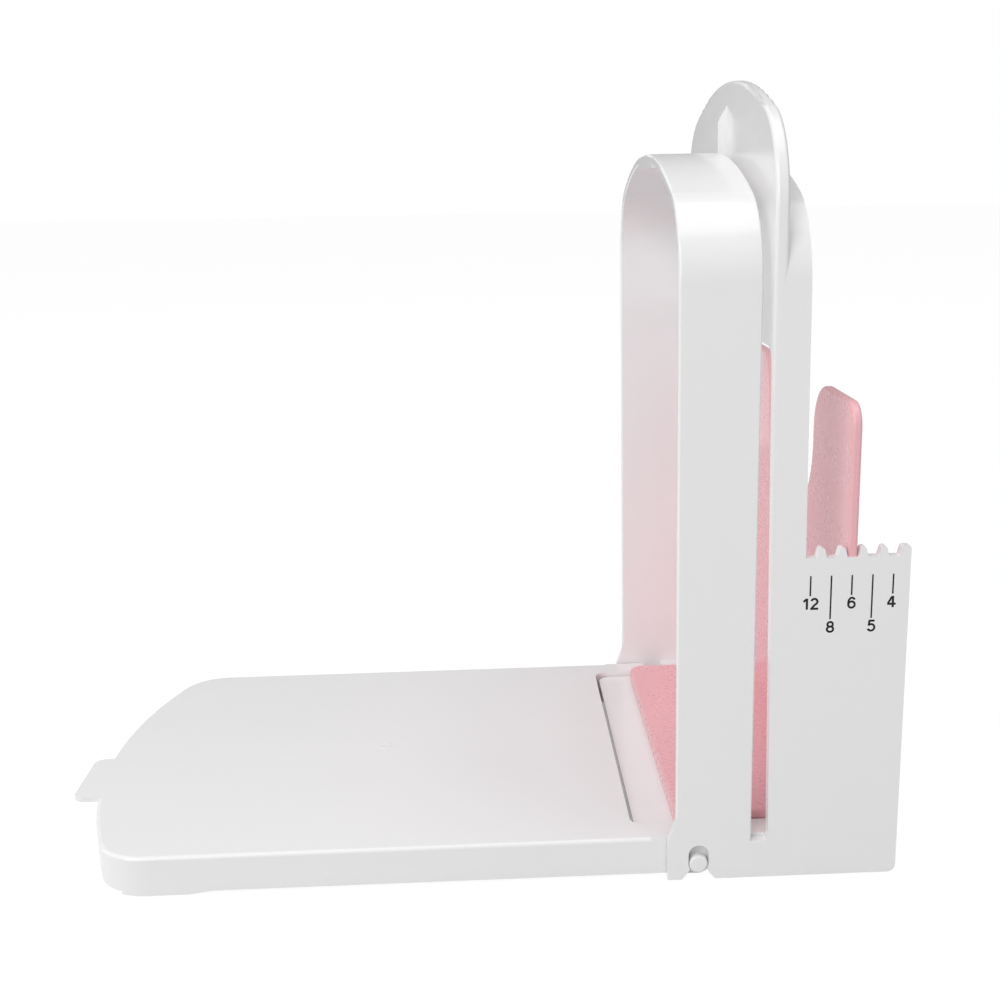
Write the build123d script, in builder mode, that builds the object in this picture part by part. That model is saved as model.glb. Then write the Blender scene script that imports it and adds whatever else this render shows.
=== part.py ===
from build123d import *

import os
from math import sqrt

# Bread slicer guide: a stand with a knife slot, a folding bread tray and a lift-out slice stop.
# Millimetres, +Z up. The bread travels along +X, from the tray, through the hoop and the
# knife slot, to the slice stop. Y = 0 is the middle plane. The origin is on the surface
# that the guide stands on, at the middle of the whole footprint.

# ---- Stand: overall ----
stand_width = 136.0  # over the two side faces
stand_depth = 56.0  # front of the hoop to the rear edge of the side panels
arch_height = 176.9  # crown of the hoop
arch_corner = 22.0  # shoulder radius of the hoop
arch_crown = 160.0  # radius of its shallow crown

# ---- Front hoop ----
hoop_depth = 19.0
hoop_wall = 2.0
hoop_edge_radius = 0.5
toe_length = 2.0  # how far each foot of the hoop steps forward
toe_height = 9.0
toe_blend_height = 17.0  # where the toe has run out into the leg
catch_width = 30.0  # lip under the crown of the hoop
catch_depth = 2.0
catch_drop = 1.5

# ---- Knife slot ----
slot_foot_width = 4.2  # along X at the sill
slot_head_width = 2.5  # along X at the shoulders of the hoop
slot_sill_height = 9.8

# ---- Knife board: the upright plate behind the slot ----
board_thickness = 3.2
board_height = 194.8
board_corner = 24.0
board_crown = 165.0
board_leg_width = 3.0
board_edge_radius = 0.9
window_top = 133.0  # the tallest loaf clears this
window_corner = 4.0
flange_rear_foot = 30.6  # rear edge of the flange, from the front of the hoop, low down
flange_rear_head = 29.8  # and at its top
flange_wall = 3.0
spacer_thickness = 1.6  # upright rib that keeps the top of the slot from closing
spacer_height = 16.0
spacer_taper = 4.0
spacer_gap = 0.3

# ---- Side panels and their notches ----
panel_wall = 3.0
notch_floor_height = 83.2
notch_pitch = 5.0
notch_count = 5
first_notch_x = 32.0  # from the front of the hoop
tooth_height = 2.4
tooth_lean = 0.6  # how far the sides of a tooth slope in
tooth_nose_radius = 0.6
notch_clearance = 0.1

# ---- Deck under the bread ----
deck_height = 9.0
deck_sheet = 2.4
deck_wall = 2.4
lip_reach = 9.0  # how far the deck runs out in front of the hoop
lip_corner = 4.0
ledge_height = 10.7
ledge_clearance = 0.7  # between a raised arm and the front of the ledge
rear_bottom_radius = 2.0

# ---- Hinge ----
hinge_x = 5.8  # from the front of the hoop
hinge_height = 4.0
pin_radius = 2.4
pin_end_radius = 0.6
pin_root = 1.0  # how far each pin runs into its arm
keyhole_clearance = 0.15
keyhole_rise = 2.7  # play above the pin
throat_half_width = 2.2  # the lips that the pin snaps past
throat_height = 2.6
throat_flare = 4.2
knuckle_radius = 3.6

# ---- Bread tray ----
tray_height = 10.5
tray_length = 155.7  # front of the hoop to the rounded end
tray_side_gap = 0.5  # between the tray and the inside of the hoop
tray_corner = 14.0
tray_crown = 168.0
tray_sheet = 2.2
tray_wall = 2.2
tray_top_radius = 1.0
tray_foot_height = 0.8
tray_foot_start = 16.5  # from the rounded end
tray_foot_length = 17.0
tray_foot_run_out = 6.0  # slope from the foot up to the skirt
arm_width = 8.0
arm_reach = -1.5  # where the arms turn solid, from the front of the hoop
lip_gap = 1.2  # visible gap in front of the deck's lip
lip_side_gap = 0.5
pull_width = 26.4
pull_reach = 4.6
pull_root = 6.6  # how far it runs in under the top of the tray
pull_thickness = 1.3
pull_offset = 15.0  # the finger pull sits off the middle plane
pull_corner = 3.0

# ---- Slice stop ----
stop_notch = 2  # counted from the thinnest slice, 0 to notch_count - 1
stop_thickness = 2.4
stop_height = 119.9
stop_corner = 6.0
stop_edge_radius = 0.9
stop_side_gap = 0.5
plate_edge_radius = 0.8
floor_top = 13.0
floor_sheet = 2.4
floor_rim = 1.8
floor_front_setback = 1.3  # front edge behind the front of the hoop
floor_corner = 4.5
floor_side_gap = 0.4
grip_width = 56.0  # finger cut-out in the top edge
grip_depth = 36.0
grip_mouth_radius = 12.0
grip_root_radius = 20.0
ear_inset = 0.5  # the ears end just inside the side faces

# ---- Worked out from the sizes above ----
half_width = stand_width / 2
tip_reach = tray_length + pull_reach
front_x = (tip_reach - stand_depth) / 2
hoop_rear_x = front_x + hoop_depth
rear_x = front_x + stand_depth
board_front_x = hoop_rear_x + slot_head_width
board_rear_x = board_front_x + board_thickness
flange_x = front_x + flange_rear_foot
pin_x = front_x + hinge_x
notch_width = stop_thickness + 2 * notch_clearance
tray_half = half_width - hoop_wall - tray_side_gap
arm_inner = tray_half - arm_width
lip_half = arm_inner - lip_side_gap
lip_front_x = front_x - lip_reach
tray_end_x = lip_front_x - lip_gap
tray_tip_x = front_x - tray_length
floor_half = lip_half - floor_side_gap
ledge_inner = lip_half
arm_sweep_x = pin_x + (tray_height - hinge_height)  # how far back a raised arm reaches
ledge_front_x = arm_sweep_x + ledge_clearance
stop_x = front_x + first_notch_x + stop_notch * notch_pitch - stop_thickness / 2
hair = 0.01  # slack for picking out faces and edges by their place

os.makedirs("parts", exist_ok=True)


def front_view(y):
    """A plane facing -Y at the given y: x runs along X and y along Z."""
    return Plane((0, y, 0), x_dir=(1, 0, 0), z_dir=(0, -1, 0))


def arch(x, half, foot, apex, corner, crown):
    """An upright face across the stand: straight sides, round shoulders and a low crown."""
    shoulder = half - corner
    reach = crown - corner
    rise = sqrt(reach**2 - shoulder**2)
    spring = apex - crown + rise
    tangent = Vector(shoulder, rise).normalized() * crown + Vector(0, apex - crown)
    middle = (Vector(1, 0) + Vector(shoulder, rise).normalized()).normalized() * corner
    middle = middle + Vector(shoulder, spring)
    with BuildSketch(Plane.YZ.offset(x)) as face:
        with BuildLine():
            Line((-half, foot), (half, foot))
            Line((half, foot), (half, spring))
            ThreePointArc((half, spring), (middle.X, middle.Y), (tangent.X, tangent.Y))
            ThreePointArc((tangent.X, tangent.Y), (0, apex), (-tangent.X, tangent.Y))
            ThreePointArc((-tangent.X, tangent.Y), (-middle.X, middle.Y), (-half, spring))
            Line((-half, spring), (-half, foot))
        make_face()
    return face.sketch


def finish(piece, name):
    """Label a finished piece and write it out under its name."""
    piece.part.label = name
    export_step(piece.part, f"parts/{name}.step")


# ---- Front hoop: a thin arch on two legs, with a keyhole for the tray's pin in each ----
with BuildPart() as front_hoop:
    outside = arch(front_x, half_width, 0, arch_height, arch_corner, arch_crown)
    extrude(outside, amount=hoop_depth)
    inside = arch(
        front_x,
        half_width - hoop_wall,
        0,
        arch_height - hoop_wall,
        arch_corner - hoop_wall,
        arch_crown - hoop_wall,
    )
    extrude(inside, amount=hoop_depth, mode=Mode.SUBTRACT)
    rim_faces = front_hoop.faces().filter_by(Axis.X)
    fillet(rim_faces.edges().filter_by(Axis.Y, reverse=True), hoop_edge_radius)
    toe_root_x = front_x + hoop_edge_radius
    for inner in (half_width - hoop_wall, -half_width):
        with BuildSketch(front_view(inner + hoop_wall)):
            with BuildLine():
                Line((toe_root_x, 0), (front_x - toe_length, 0))
                Line((front_x - toe_length, 0), (front_x - toe_length, toe_height))
                Spline(
                    (front_x - toe_length, toe_height),
                    (front_x, toe_blend_height),
                    tangents=((0, 1), (0, 1)),
                )
                Line((front_x, toe_blend_height), (toe_root_x, toe_blend_height))
                Line((toe_root_x, toe_blend_height), (toe_root_x, 0))
            make_face()
        extrude(amount=hoop_wall)
    with BuildSketch(front_view(half_width)):
        keyhole_radius = pin_radius + keyhole_clearance
        keyhole_top = hinge_height + keyhole_rise
        with Locations((pin_x, keyhole_top)):
            Circle(keyhole_radius)
        with BuildLine():
            Polyline(
                (pin_x - keyhole_radius, keyhole_top),
                (pin_x - keyhole_radius, hinge_height),
                (pin_x - throat_half_width, throat_height),
                (pin_x - throat_flare, 0),
                (pin_x + throat_flare, 0),
                (pin_x + throat_half_width, throat_height),
                (pin_x + keyhole_radius, hinge_height),
                (pin_x + keyhole_radius, keyhole_top),
                close=True,
            )
        make_face()
    extrude(amount=stand_width, mode=Mode.SUBTRACT)
    for inner in (half_width - hoop_wall, -half_width):
        with Locations((hoop_rear_x, inner + hoop_wall / 2, slot_sill_height / 2)):
            Box(
                2 * hoop_edge_radius,
                hoop_wall,
                slot_sill_height,
                align=(Align.MAX, Align.CENTER, Align.CENTER),
            )
    catch_top = arch_height - hoop_wall / 2
    catch_height = hoop_wall / 2 + catch_drop
    with Locations((front_x + catch_depth / 2, 0, catch_top - catch_height / 2)):
        Box(catch_depth, catch_width, catch_height)
finish(front_hoop, "front_hoop")

# ---- Knife board: plate with a loaf window, a tall crown, a rear flange and a spacer rib ----
with BuildPart() as knife_board:
    plate_face = arch(
        board_front_x, half_width, slot_sill_height, board_height, board_corner, board_crown
    )
    extrude(plate_face, amount=board_thickness)
    front_edges = knife_board.faces().sort_by(Axis.X)[0].edges().filter_by(Axis.Y, reverse=True)
    crown_edges = knife_board.faces().sort_by(Axis.X)[-1].edges().filter_by(GeomType.CIRCLE)
    fillet(front_edges + crown_edges, board_edge_radius)
    flange_root_x = board_rear_x - board_edge_radius
    outside = arch(
        flange_root_x, half_width, slot_sill_height, arch_height, arch_corner, arch_crown
    )
    extrude(outside, amount=flange_x - flange_root_x)
    inside = arch(
        board_rear_x,
        half_width - flange_wall,
        slot_sill_height,
        arch_height - flange_wall,
        arch_corner - flange_wall,
        arch_crown - flange_wall,
    )
    extrude(inside, amount=flange_x - board_rear_x, mode=Mode.SUBTRACT)
    window_half = half_width - board_leg_width
    with BuildSketch(Plane.YZ.offset(board_front_x)) as window:
        with Locations((0, (slot_sill_height + window_top) / 2)):
            Rectangle(2 * window_half, window_top - slot_sill_height)
        fillet(window.vertices().group_by(Axis.Y)[-1], window_corner)
    extrude(amount=board_thickness, mode=Mode.SUBTRACT)
    with BuildSketch(front_view(half_width)):
        slot_head_height = arch_height - arch_corner
        with BuildLine():
            Polyline(
                (board_front_x, slot_sill_height),
                (board_front_x + slot_foot_width - slot_head_width, slot_sill_height),
                (board_front_x, slot_head_height),
                close=True,
            )
        make_face()
    extrude(amount=stand_width, mode=Mode.SUBTRACT)
    with BuildSketch(front_view(half_width)):
        with BuildLine():
            Polyline(
                (flange_x, notch_floor_height + tooth_height),
                (flange_x, arch_height),
                (front_x + flange_rear_head, arch_height),
                close=True,
            )
        make_face()
    extrude(amount=stand_width, mode=Mode.SUBTRACT)
    with BuildSketch(front_view(spacer_thickness / 2)):
        spacer_x = hoop_rear_x + spacer_gap
        spacer_foot = arch_height - 2 * hoop_wall
        spacer_top = spacer_foot + spacer_height
        with BuildLine():
            Polyline(
                (board_front_x, spacer_foot),
                (board_front_x, spacer_top),
                (spacer_x, spacer_top - spacer_taper),
                (spacer_x, spacer_foot),
                close=True,
            )
        make_face()
    extrude(amount=spacer_thickness)
finish(knife_board, "knife_board")


# ---- Side panels: two upright plates whose top edges are notched for the slice stop ----
def side_panel(y_far):
    """One panel, drawn from the front on its far face at y_far and running towards -Y."""
    tooth_top = notch_floor_height + tooth_height
    with BuildPart() as panel:
        with BuildSketch(front_view(y_far)):
            with Locations(((flange_x + rear_x) / 2, (slot_sill_height + notch_floor_height) / 2)):
                Rectangle(rear_x - flange_x, notch_floor_height - slot_sill_height)
        extrude(amount=panel_wall)
        for place in range(notch_count):
            notch_x = front_x + first_notch_x + place * notch_pitch
            tooth_x = notch_x + notch_width / 2
            tooth_end = tooth_x + notch_pitch - notch_width
            tooth_top_end = tooth_end - tooth_lean
            if place == notch_count - 1:
                tooth_end = rear_x
                tooth_top_end = rear_x
            with BuildSketch(front_view(y_far)) as tooth:
                with BuildLine():
                    Polyline(
                        (tooth_x, notch_floor_height),
                        (tooth_x + tooth_lean, tooth_top),
                        (tooth_top_end, tooth_top),
                        (tooth_end, notch_floor_height),
                        close=True,
                    )
                make_face()
                fillet(tooth.vertices().group_by(Axis.Y)[-1], tooth_nose_radius)
            extrude(amount=panel_wall)
    return panel


near_side_panel = side_panel(-half_width + panel_wall)
finish(near_side_panel, "near_side_panel")
far_side_panel = side_panel(half_width)
finish(far_side_panel, "far_side_panel")

# ---- Deck: floor of the stand, its front lip between the tray's arms, and two side ledges ----
with BuildPart() as deck:
    with BuildSketch():
        with Locations(((lip_front_x + rear_x) / 2, 0)):
            Rectangle(rear_x - lip_front_x, 2 * lip_half)
    extrude(amount=deck_height)
    fillet(deck.edges().filter_by(Axis.Z).group_by(Axis.X)[0], lip_corner)
    with BuildSketch():
        with Locations(((ledge_front_x + hoop_rear_x) / 2, 0)):
            Rectangle(hoop_rear_x - ledge_front_x, 2 * (half_width - hoop_wall))
        with Locations(((hoop_rear_x + rear_x) / 2, 0)):
            Rectangle(rear_x - hoop_rear_x, stand_width)
    extrude(amount=slot_sill_height)
    with BuildSketch(Plane.XY.offset(slot_sill_height)):
        with Locations(((ledge_front_x + hoop_rear_x) / 2, 0)):
            Rectangle(hoop_rear_x - ledge_front_x, 2 * (half_width - hoop_wall))
        with Locations(((hoop_rear_x + rear_x) / 2, 0)):
            Rectangle(rear_x - hoop_rear_x, 2 * (half_width - panel_wall))
    extrude(amount=ledge_height - slot_sill_height)
    with BuildSketch(Plane.XY.offset(deck_height)):
        with Locations(((lip_front_x + rear_x) / 2, 0)):
            Rectangle(rear_x - lip_front_x, 2 * ledge_inner)
    extrude(amount=ledge_height, mode=Mode.SUBTRACT)
    with BuildSketch():
        with Locations(((lip_front_x + rear_x) / 2, 0)):
            Rectangle(rear_x - lip_front_x - 2 * deck_wall, 2 * (lip_half - deck_wall))
        with Locations(((ledge_front_x + rear_x) / 2, 0)):
            Rectangle(rear_x - ledge_front_x - 2 * deck_wall, 2 * (half_width - panel_wall))
    extrude(amount=deck_height - deck_sheet, mode=Mode.SUBTRACT)
    fillet(deck.edges().filter_by(Axis.Y).group_by(Axis.X)[-1].sort_by(Axis.Z)[0], rear_bottom_radius)
finish(deck, "deck")

# ---- Bread tray: a shallow shell with a rounded end, on two arms with hinge pins ----
def tray_face(inset):
    """The tray seen from above as a face, drawn in by inset all round."""
    half = tray_half - inset
    corner = tray_corner - inset
    crown = tray_crown - inset
    tip_x = tray_tip_x + inset
    shoulder = half - corner
    rise = sqrt((crown - corner) ** 2 - shoulder**2)
    corner_x = tip_x + crown - rise
    unit = Vector(-rise, shoulder).normalized()
    tangent = unit * crown + Vector(tip_x + crown, 0)
    middle = (unit + Vector(0, 1)).normalized() * corner + Vector(corner_x, shoulder)
    arm_end_x = front_x + arm_reach - inset
    bay_x = tray_end_x - inset
    with BuildSketch() as face:
        with BuildLine():
            Line((arm_end_x, -half), (corner_x, -half))
            ThreePointArc((corner_x, -half), (middle.X, -middle.Y), (tangent.X, -tangent.Y))
            ThreePointArc((tangent.X, -tangent.Y), (tip_x, 0), (tangent.X, tangent.Y))
            ThreePointArc((tangent.X, tangent.Y), (middle.X, middle.Y), (corner_x, half))
            Line((corner_x, half), (arm_end_x, half))
            Line((arm_end_x, half), (arm_end_x, -half))
        make_face()
        bay_length = arm_end_x - bay_x + 2 * lip_corner
        with Locations((bay_x + bay_length / 2, 0)):
            RectangleRounded(bay_length, 2 * (arm_inner + inset), lip_corner, mode=Mode.SUBTRACT)
    return face.sketch


with BuildPart() as bread_tray:
    extrude(tray_face(0), amount=tray_height)
    top_rim = bread_tray.faces().sort_by(Axis.Z)[-1].edges()
    fillet(top_rim.filter_by_position(Axis.X, tray_tip_x - hair, tray_end_x - hair), tray_top_radius)
    extrude(tray_face(tray_wall), amount=tray_height - tray_sheet, mode=Mode.SUBTRACT)
    foot_front_x = tray_tip_x + tray_foot_start
    foot_rear_x = foot_front_x + tray_foot_length
    with BuildSketch():
        with Locations(((tray_tip_x + foot_front_x) / 2, 0)):
            Rectangle(foot_front_x - tray_tip_x, stand_width)
    extrude(amount=tray_foot_height, mode=Mode.SUBTRACT)
    with BuildSketch(front_view(half_width)):
        with BuildLine():
            Polyline(
                (foot_rear_x, 0),
                (foot_rear_x + tray_foot_run_out, tray_foot_height),
                (front_x, tray_foot_height),
                (front_x, 0),
                close=True,
            )
        make_face()
    extrude(amount=stand_width, mode=Mode.SUBTRACT)
    for arm_y in (arm_inner, -tray_half):
        with BuildSketch(front_view(arm_y + arm_width)):
            with Locations((pin_x, hinge_height)):
                Circle(knuckle_radius)
            with BuildLine():
                Spline(
                    (pin_x + knuckle_radius, hinge_height),
                    (pin_x, tray_height),
                    tangents=((0, 1), (-1, 0)),
                )
                Polyline(
                    (pin_x, tray_height),
                    (front_x + arm_reach - 2 * tray_wall, tray_height),
                    (front_x + arm_reach - 2 * tray_wall, tray_foot_height),
                    (front_x + arm_reach, tray_foot_height),
                    (pin_x, hinge_height - knuckle_radius),
                    (pin_x, hinge_height),
                    (pin_x + knuckle_radius, hinge_height),
                )
            make_face()
        extrude(amount=arm_width)
    for side in (-1, 1):
        with BuildSketch(Plane((pin_x, side * half_width, hinge_height), z_dir=(0, -side, 0))):
            Circle(pin_radius)
        extrude(amount=half_width - tray_half + pin_root)
    side_faces = bread_tray.faces().filter_by(Axis.Y)
    pin_ends = side_faces.group_by(Axis.Y)[0] + side_faces.group_by(Axis.Y)[-1]
    fillet(pin_ends.edges(), pin_end_radius)
    with BuildSketch(Plane.XY.offset(tray_height - pull_thickness)):
        pull_length = pull_reach + pull_root
        with Locations((tray_tip_x - pull_reach + pull_length / 2, -pull_offset)):
            RectangleRounded(pull_length, pull_width, pull_corner)
    extrude(amount=pull_thickness)
finish(bread_tray, "bread_tray")

# ---- Slice stop: an upright plate on a floor, lifted out and dropped into another notch ----
with BuildPart() as slice_stop:
    panel_half = half_width - panel_wall - stop_side_gap
    ear_half = half_width - ear_inset
    with BuildSketch(Plane.YZ.offset(stop_x)) as plate:
        with BuildLine():
            Polyline(
                (floor_half, deck_height),
                (floor_half, ledge_height + stop_side_gap),
                (panel_half, ledge_height + stop_side_gap),
                (panel_half, notch_floor_height),
                (ear_half, notch_floor_height),
                (ear_half, stop_height),
                (-ear_half, stop_height),
                (-ear_half, notch_floor_height),
                (-panel_half, notch_floor_height),
                (-panel_half, ledge_height + stop_side_gap),
                (-floor_half, ledge_height + stop_side_gap),
                (-floor_half, deck_height),
                close=True,
            )
        make_face()
        fillet(plate.vertices().group_by(Axis.Y)[-1], stop_corner)
        with Locations((0, stop_height - grip_depth / 2)):
            Rectangle(grip_width, grip_depth, mode=Mode.SUBTRACT)
        grip_reach = grip_width / 2 + hair
        mouth = plate.vertices().filter_by_position(Axis.X, -grip_reach, grip_reach).group_by(Axis.Y)[-1]
        fillet(mouth, grip_mouth_radius)
        root = plate.vertices().filter_by_position(Axis.X, -grip_reach, grip_reach).group_by(Axis.Y)[0]
        fillet(root, grip_root_radius)
    extrude(amount=stop_thickness)
    outline = slice_stop.faces().filter_by(Axis.X).edges()
    fillet(outline.filter_by_position(Axis.Z, notch_floor_height + hair, stop_height), plate_edge_radius)
    floor_front_x = front_x + floor_front_setback
    floor_length = stop_x + stop_thickness - floor_front_x
    floor_middle_x = floor_front_x + floor_length / 2
    with BuildSketch(Plane.XY.offset(deck_height)) as floor_outline:
        with Locations((floor_middle_x, 0)):
            Rectangle(floor_length, 2 * floor_half)
        fillet(floor_outline.vertices().group_by(Axis.X)[0], floor_corner)
    extrude(amount=floor_top - deck_height)
    floor_edges = slice_stop.edges().filter_by_position(Axis.Z, floor_top - hair, floor_top + hair)
    fillet(floor_edges.filter_by_position(Axis.X, floor_front_x - hair, stop_x - hair), stop_edge_radius)
    with BuildSketch(Plane.XY.offset(deck_height)):
        with Locations((floor_middle_x, 0)):
            Rectangle(floor_length - 2 * floor_rim, 2 * (floor_half - floor_rim))
    extrude(amount=floor_top - deck_height - floor_sheet, mode=Mode.SUBTRACT)
finish(slice_stop, "slice_stop")
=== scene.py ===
from math import cos, radians, sin

import bmesh
import bpy
from mathutils import Matrix, Vector


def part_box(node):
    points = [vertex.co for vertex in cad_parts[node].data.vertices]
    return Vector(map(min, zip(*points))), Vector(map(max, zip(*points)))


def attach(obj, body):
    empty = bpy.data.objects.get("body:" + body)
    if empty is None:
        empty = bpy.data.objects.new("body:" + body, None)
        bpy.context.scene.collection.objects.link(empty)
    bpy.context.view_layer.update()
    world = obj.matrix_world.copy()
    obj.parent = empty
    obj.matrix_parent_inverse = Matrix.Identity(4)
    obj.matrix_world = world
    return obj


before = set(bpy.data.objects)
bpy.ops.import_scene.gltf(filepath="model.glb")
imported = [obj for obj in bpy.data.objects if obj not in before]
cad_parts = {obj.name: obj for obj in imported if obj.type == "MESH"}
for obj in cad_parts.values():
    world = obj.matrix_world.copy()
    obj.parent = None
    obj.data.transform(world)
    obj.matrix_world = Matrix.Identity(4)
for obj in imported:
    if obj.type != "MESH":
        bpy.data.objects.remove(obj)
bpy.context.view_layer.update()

MM = 0.001
collection = bpy.context.scene.collection

# ---- The photograph's viewpoint ----
# A camera at the near side of the guide, a little above the middle of the hoop, looking
# down by about sixteen degrees. The whole guide is kept in a square frame.
view_place = (7.06 * MM, -388.16 * MM, 173.13 * MM)
view_yaw, view_pitch, view_roll = 0.043, 0.272, -0.019
forward = Vector(
    (sin(view_yaw) * cos(view_pitch), cos(view_yaw) * cos(view_pitch), -sin(view_pitch))
)
level = Vector((cos(view_yaw), -sin(view_yaw), 0))
upright = level.cross(forward)
right = cos(view_roll) * level + sin(view_roll) * upright
up = cos(view_roll) * upright - sin(view_roll) * level
lens_data = bpy.data.cameras.new("photo_view")
lens_data.sensor_width = 36
lens_data.lens = 50.785
lens_data.shift_x = -0.0458
lens_data.shift_y = 0.0645
lens_data.clip_start = 0.01
camera = bpy.data.objects.new("photo_view", lens_data)
collection.objects.link(camera)
turn = Matrix((right, up, -forward)).transposed().to_4x4()
camera.matrix_world = Matrix.Translation(view_place) @ turn
bpy.context.scene.camera = camera
bpy.context.scene.view_settings.view_transform = "Standard"


# ---- Stand: one white moulding ----
# The hoop, knife board, side panels and deck are injection moulded together in glossy
# white plastic. Its walls are two to three millimetres thick, with softly broken edges.
def new_group(name, inputs, outputs):
    """A shader node group with the named sockets, and its two end nodes."""
    group = bpy.data.node_groups.new(name, "ShaderNodeTree")
    for socket, kind, value in inputs:
        made = group.interface.new_socket(name=socket, in_out="INPUT", socket_type=kind)
        made.default_value = value
    for socket, kind in outputs:
        group.interface.new_socket(name=socket, in_out="OUTPUT", socket_type=kind)
    start = group.nodes.new("NodeGroupInput")
    end = group.nodes.new("NodeGroupOutput")
    return group, start, end


def node(tree, kind, links=(), **settings):
    """Add a node, set its properties and plain input values, and link its inputs."""
    made = tree.nodes.new(kind)
    for key, value in settings.items():
        setattr(made, key, value)
    for socket, source in links:
        if hasattr(source, "is_output"):
            tree.links.new(source, made.inputs[socket])
        else:
            made.inputs[socket].default_value = source
    return made


def cleared_tree(owner):
    """The node tree of a new material or world, with nothing in it."""
    owner.use_nodes = True
    owner.node_tree.nodes.clear()
    return owner.node_tree


FLOAT, COLOUR = "NodeSocketFloat", "NodeSocketColor"


def moulded_skin():
    """Flow clouds, fine skin grain and handling marks of a polished moulding."""
    group, start, end = new_group(
        "moulded_skin",
        [
            ("Plastic", COLOUR, (0.86, 0.86, 0.87, 1)),
            ("Flow", COLOUR, (0.82, 0.82, 0.84, 1)),
            ("Gloss", FLOAT, 0.22),
            ("Marks", FLOAT, 0.5),
        ],
        [("Color", COLOUR), ("Roughness", FLOAT), ("Height", FLOAT)],
    )
    place = node(group, "ShaderNodeTexCoord").outputs["Object"]
    stretched = node(group, "ShaderNodeMapping", [("Vector", place), ("Scale", (14, 30, 9))])
    clouds = node(
        group,
        "ShaderNodeTexNoise",
        [("Vector", stretched.outputs[0]), ("Scale", 1.0), ("Detail", 3.0)],
    )
    flow = node(
        group,
        "ShaderNodeMapRange",
        [("Value", clouds.outputs["Fac"]), ("From Min", 0.35), ("From Max", 0.7)],
    )
    colour = node(
        group,
        "ShaderNodeMix",
        [("Factor", flow.outputs[0])],
        data_type="RGBA",
    )
    group.links.new(start.outputs["Plastic"], colour.inputs[6])
    group.links.new(start.outputs["Flow"], colour.inputs[7])
    grain = node(
        group, "ShaderNodeTexNoise", [("Vector", place), ("Scale", 700.0), ("Detail", 2.0)]
    )
    wave = node(group, "ShaderNodeTexNoise", [("Vector", place), ("Scale", 22.0), ("Detail", 1.0)])
    fine = node(group, "ShaderNodeMapping", [("Vector", place), ("Scale", (260, 30, 120))])
    rubs = node(
        group, "ShaderNodeTexNoise", [("Vector", fine.outputs[0]), ("Scale", 1.0), ("Detail", 4.0)]
    )
    rubbed = node(
        group,
        "ShaderNodeMapRange",
        [("Value", rubs.outputs["Fac"]), ("From Min", 0.5), ("From Max", 0.8), ("To Max", 0.05)],
    )
    marks = node(
        group,
        "ShaderNodeMath",
        [(0, rubbed.outputs[0]), (1, start.outputs["Marks"])],
        operation="MULTIPLY",
    )
    rough = node(
        group,
        "ShaderNodeMath",
        [(0, grain.outputs["Fac"]), (1, 0.03), (2, start.outputs["Gloss"])],
        operation="MULTIPLY_ADD",
    )
    rough = node(
        group, "ShaderNodeMath", [(0, rough.outputs[0]), (1, marks.outputs[0])], operation="ADD"
    )
    height = node(
        group,
        "ShaderNodeMath",
        [(0, wave.outputs["Fac"]), (1, 12.0), (2, grain.outputs["Fac"])],
        operation="MULTIPLY_ADD",
    )
    group.links.new(colour.outputs[2], end.inputs["Color"])
    group.links.new(rough.outputs[0], end.inputs["Roughness"])
    group.links.new(height.outputs[0], end.inputs["Height"])
    return group


skin = moulded_skin()


def moulded_plastic(name, plastic, flow, gloss, marks):
    """A polished moulding in two close tones of one colour."""
    material = bpy.data.materials.new(name)
    tree = cleared_tree(material)
    surface = node(tree, "ShaderNodeGroup")
    surface.node_tree = skin
    surface.inputs["Plastic"].default_value = (*plastic, 1)
    surface.inputs["Flow"].default_value = (*flow, 1)
    surface.inputs["Gloss"].default_value = gloss
    surface.inputs["Marks"].default_value = marks
    bump = node(
        tree,
        "ShaderNodeBump",
        [("Strength", 0.5), ("Distance", 0.00002), ("Height", surface.outputs["Height"])],
    )
    plain = node(
        tree,
        "ShaderNodeBsdfPrincipled",
        [
            ("Base Color", surface.outputs["Color"]),
            ("Roughness", surface.outputs["Roughness"]),
            ("Normal", bump.outputs[0]),
            ("IOR", 1.5),
            ("Specular IOR Level", 0.5),
        ],
    )
    out = node(tree, "ShaderNodeOutputMaterial")
    tree.links.new(plain.outputs[0], out.inputs["Surface"])
    return material


def dress(name, material):
    """Give a CAD node its material, leaving its shape alone."""
    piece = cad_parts[name]
    piece.data.materials.clear()
    piece.data.materials.append(material)


white_plastic = moulded_plastic("white_plastic", (0.89, 0.89, 0.895), (0.88, 0.88, 0.89), 0.15, 0.4)
for name in ("front_hoop", "knife_board", "near_side_panel", "far_side_panel", "deck"):
    dress(name, white_plastic)

# ---- Printed scale on the near side panel ----
# Five black pad-printed strokes, one under each notch, with the number of slices that the
# notch gives. The ink is a thin satin film on the outer face of the panel.
panel_low, panel_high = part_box("near_side_panel")
ink_proud = 0.02 * MM
first_mark_x = panel_high.x - 24.06 * MM
mark_count = 5
mark_pitch = 5.0 * MM
mark_width = 0.4 * MM
mark_top_z = panel_high.z - 6.75 * MM
short_mark, long_mark = 5.0 * MM, 10.95 * MM
digit_gap = 0.42 * MM
digit_height = 3.05 * MM
digit_line = 0.56 * MM


def bow(middle, reach, start, end):
    """Points along an upright oval, from one angle to another in degrees."""
    steps = 20
    angles = [radians(start + (end - start) * step / steps) for step in range(steps + 1)]
    return [(middle[0] + reach[0] * cos(a), middle[1] + reach[1] * sin(a)) for a in angles]


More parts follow.
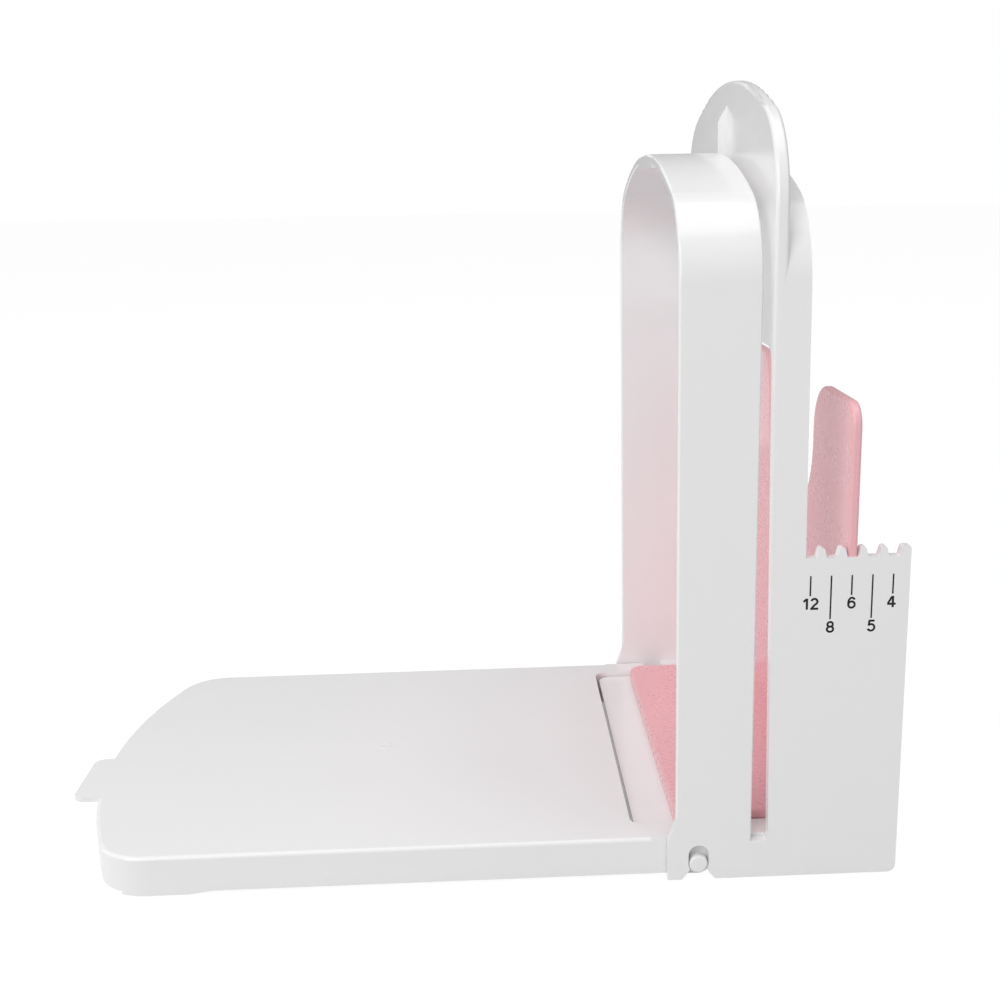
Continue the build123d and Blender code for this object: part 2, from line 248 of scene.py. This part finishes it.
# The strokes of each digit, in shares of its width and height.
digit_strokes = {
    "1": [[(0.0, 0.73), (0.42, 0.82), (0.9, 1.0)], [(1.0, 1.05), (1.0, -0.06)]],
    "2": [
        bow((0.5, 0.71), (0.46, 0.29), 165, -30) + [(0.42, 0.3), (0.06, 0.0)],
        [(-0.1, 0.0), (1.1, 0.0)],
    ],
    "4": [
        [(0.6, 1.02), (0.0, 0.28)],
        [(-0.08, 0.26), (1.14, 0.26)],
        [(0.72, 1.06), (0.72, -0.08)],
    ],
    "5": [
        [(0.14, 1.0), (1.0, 1.0)],
        [(0.2, 1.06), (0.08, 0.5)],
        bow((0.46, 0.32), (0.54, 0.33), 138, -158),
    ],
    "6": [
        bow((0.5, 0.31), (0.5, 0.31), 0, 360),
        bow((0.54, 0.5), (0.54, 0.5), 38, 180) + [(0.0, 0.3)],
    ],
    "8": [bow((0.5, 0.76), (0.43, 0.24), 0, 360), bow((0.5, 0.27), (0.5, 0.27), 0, 360)],
}
# Each digit with the mark that it belongs to, its place beside the mark and its width.
printed_digits = (
    ("1", 0, -1.18, 1.45),
    ("2", 0, 1.06, 2.15),
    ("8", 1, 0.08, 2.1),
    ("6", 2, 0.08, 2.12),
    ("5", 3, 0.12, 2.1),
    ("4", 4, -0.25, 2.25),
)


def print_line(ink, points, width):
    """Add one line of print to the ink: a drawn line flattened onto the panel."""
    drawn = bpy.data.curves.new("drawn_line", "CURVE")
    drawn.dimensions = "3D"
    drawn.bevel_depth = width / 2
    drawn.bevel_resolution = 3
    drawn.use_fill_caps = True
    line = drawn.splines.new("POLY")
    line.points.add(len(points) - 1)
    for point, (x, z) in zip(line.points, points):
        point.co = (x, 0, z, 1)
    holder = bpy.data.objects.new("drawn_line", drawn)
    flat = bpy.data.meshes.new_from_object(holder)
    for vertex in flat.vertices:
        vertex.co.y = panel_low.y + vertex.co.y * 2 * ink_proud / width
    ink.from_mesh(flat)
    bpy.data.objects.remove(holder)


ink = bmesh.new()
mark_lengths = [long_mark if place % 2 else short_mark for place in range(mark_count)]
for place, length in enumerate(mark_lengths):
    mark_x = first_mark_x + place * mark_pitch
    print_line(ink, [(mark_x, mark_top_z), (mark_x, mark_top_z - length)], mark_width)
for digit, place, beside, width in printed_digits:
    inner_width = width * MM - digit_line
    inner_height = digit_height - digit_line
    left = first_mark_x + place * mark_pitch + beside * MM - inner_width / 2
    foot = mark_top_z - mark_lengths[place] - digit_gap - digit_height + digit_line / 2
    for stroke in digit_strokes[digit]:
        placed = [(left + u * inner_width, foot + v * inner_height) for u, v in stroke]
        print_line(ink, placed, digit_line)
scale_mesh = bpy.data.meshes.new("printed_scale")
ink.to_mesh(scale_mesh)
ink.free()
printed_scale = bpy.data.objects.new("printed_scale", scale_mesh)
collection.objects.link(printed_scale)

black_ink = bpy.data.materials.new("black_ink")
tree = cleared_tree(black_ink)
place = node(tree, "ShaderNodeTexCoord").outputs["Object"]
film = node(tree, "ShaderNodeTexNoise", [("Vector", place), ("Scale", 2500.0), ("Detail", 2.0)])
ink_tone = node(
    tree,
    "ShaderNodeMix",
    [(0, film.outputs["Fac"]), (6, (0.004, 0.004, 0.005, 1)), (7, (0.012, 0.011, 0.012, 1))],
    data_type="RGBA",
)
ink_gloss = node(
    tree, "ShaderNodeMapRange", [("Value", film.outputs["Fac"]), ("To Min", 0.38), ("To Max", 0.52)]
)
film_bump = node(
    tree,
    "ShaderNodeBump",
    [("Strength", 0.15), ("Distance", 0.000005), ("Height", film.outputs["Fac"])],
)
satin = node(
    tree,
    "ShaderNodeBsdfPrincipled",
    [
        ("Base Color", ink_tone.outputs[2]),
        ("Roughness", ink_gloss.outputs[0]),
        ("Normal", film_bump.outputs[0]),
        ("IOR", 1.48),
        ("Specular IOR Level", 0.3),
    ],
)
node(tree, "ShaderNodeOutputMaterial", [("Surface", satin.outputs[0])])
scale_mesh.materials.append(black_ink)
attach(printed_scale, "stand")

# ---- Bread tray: one white moulding ----
# A shallow shell with a rounded end and a finger pull. Two arms carry its hinge pins.
# It is moulded from one gate in its top, in the stand's white plastic, a little less shiny.
tray_plastic = moulded_plastic("tray_plastic", (0.89, 0.89, 0.895), (0.88, 0.88, 0.89), 0.22, 0.3)
dress("bread_tray", tray_plastic)

# ---- Gate mark on the tray ----
# The trimmed stub of the moulding gate: a low round rim with a shallow dish inside it,
# part of the tray's own plastic.
gate_place = Vector((-24.85 * MM, 1.0 * MM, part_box("bread_tray")[1].z))
gate_profile = ((0.7, 0.02), (1.3, 0.04), (1.75, 0.1), (1.95, 0.11), (2.1, 0.07), (2.2, -0.05))
gate_turns = 48
gate_angles = [radians(360 * turn / gate_turns) for turn in range(gate_turns)]
gate = bmesh.new()
rings = [
    [gate.verts.new(Vector((radius * cos(a), radius * sin(a), height)) * MM) for a in gate_angles]
    for radius, height in gate_profile
]
for inner, outer in zip(rings, rings[1:]):
    for k in range(gate_turns):
        gate.faces.new((inner[k - 1], outer[k - 1], outer[k], inner[k])).smooth = True
gate.faces.new(rings[0])
gate.faces.new(list(reversed(rings[-1])))
bmesh.ops.translate(gate, vec=gate_place, verts=gate.verts)
gate_mesh = bpy.data.meshes.new("gate_mark")
gate.to_mesh(gate_mesh)
gate.free()
gate_mark = bpy.data.objects.new("gate_mark", gate_mesh)
collection.objects.link(gate_mark)
gate_mesh.materials.append(tray_plastic)
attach(gate_mark, "tray")

# ---- Slice stop: one pink moulding ----
# A floor plate and an upright plate with a finger cut-out, injection moulded in satin
# pink plastic. Its two ears drop into a pair of notches, and nothing else holds it.
pink_plastic = moulded_plastic("pink_plastic", (0.88, 0.48, 0.515), (0.865, 0.465, 0.5), 0.26, 0.4)
dress("slice_stop", pink_plastic)

# ---- Table and light ----
# A white table that runs on without an edge, even light from all round, and five soft
# boxes. None of it is part of the guide.
def any_ray(tree, kinds):
    """1 for a ray of any of the kinds, and 0 for the rest."""
    rays = node(tree, "ShaderNodeLightPath")
    found = rays.outputs[kinds[0]]
    for kind in kinds[1:]:
        larger = node(
            tree, "ShaderNodeMath", [(0, found), (1, rays.outputs[kind])], operation="MAXIMUM"
        )
        found = larger.outputs[0]
    return found


table_rays = ("Is Camera Ray", "Is Glossy Ray", "Is Transmission Ray")
table_reach = 6.0
table_drop = 0.3 * MM
glow_share = 0.85
glow_strength = 1.12
table_corners = [
    (x * table_reach, y * table_reach, 0) for x, y in ((-1, -1), (1, -1), (1, 1), (-1, 1))
]
table_mesh = bpy.data.meshes.new("table")
table_mesh.from_pydata(table_corners, [], [(0, 1, 2, 3)])
table = bpy.data.objects.new("table", table_mesh)
table.location.z = -table_drop
collection.objects.link(table)
table_white = bpy.data.materials.new("table_white")
tree = cleared_tree(table_white)
share = node(
    tree,
    "ShaderNodeMath",
    [(0, any_ray(tree, table_rays)), (1, glow_share)],
    operation="MULTIPLY",
)
matt = node(tree, "ShaderNodeBsdfDiffuse", [("Color", (0.6, 0.6, 0.6, 1))])
glow = node(tree, "ShaderNodeEmission", [("Color", (1, 1, 1, 1)), ("Strength", glow_strength)])
both = node(
    tree, "ShaderNodeMixShader", [(0, share.outputs[0]), (1, matt.outputs[0]), (2, glow.outputs[0])]
)
node(tree, "ShaderNodeOutputMaterial", [("Surface", both.outputs[0])])
table_mesh.materials.append(table_white)

room_rays = ("Is Camera Ray", "Is Transmission Ray")
room_light = 0.35
room = bpy.data.worlds.new("studio")
bpy.context.scene.world = room
tree = cleared_tree(room)
strength = node(
    tree,
    "ShaderNodeMapRange",
    [("Value", any_ray(tree, room_rays)), ("To Min", room_light), ("To Max", 1.0)],
)
walls = node(
    tree, "ShaderNodeBackground", [("Color", (1, 1, 1, 1)), ("Strength", strength.outputs[0])]
)
node(tree, "ShaderNodeOutputWorld", [("Surface", walls.outputs[0])])


def lamp(name, place, target, size, power):
    """A square soft box at place that points at target."""
    data = bpy.data.lights.new(name, "AREA")
    data.shape = "SQUARE"
    data.size = size
    data.energy = power
    made = bpy.data.objects.new(name, data)
    collection.objects.link(made)
    made.location = place
    made.rotation_euler = (Vector(target) - Vector(place)).to_track_quat("-Z", "Y").to_euler()


lamp("over_lamp", (0.1, -0.1, 1.3), (0, 0, 0.05), 1.0, 5.5)
lamp("front_lamp", (-0.8, -1.05, 0.85), (0, 0, 0.08), 1.1, 12.0)
lamp("left_lamp", (-1.4, 0.1, 0.5), (0, 0, 0.1), 1.0, 2.4)
lamp("right_lamp", (1.2, -0.7, 0.9), (0, 0, 0.1), 1.0, 1.8)
lamp("rear_lamp", (-0.3, 1.3, 1.0), (0, 0, 0.1), 1.0, 0.8)
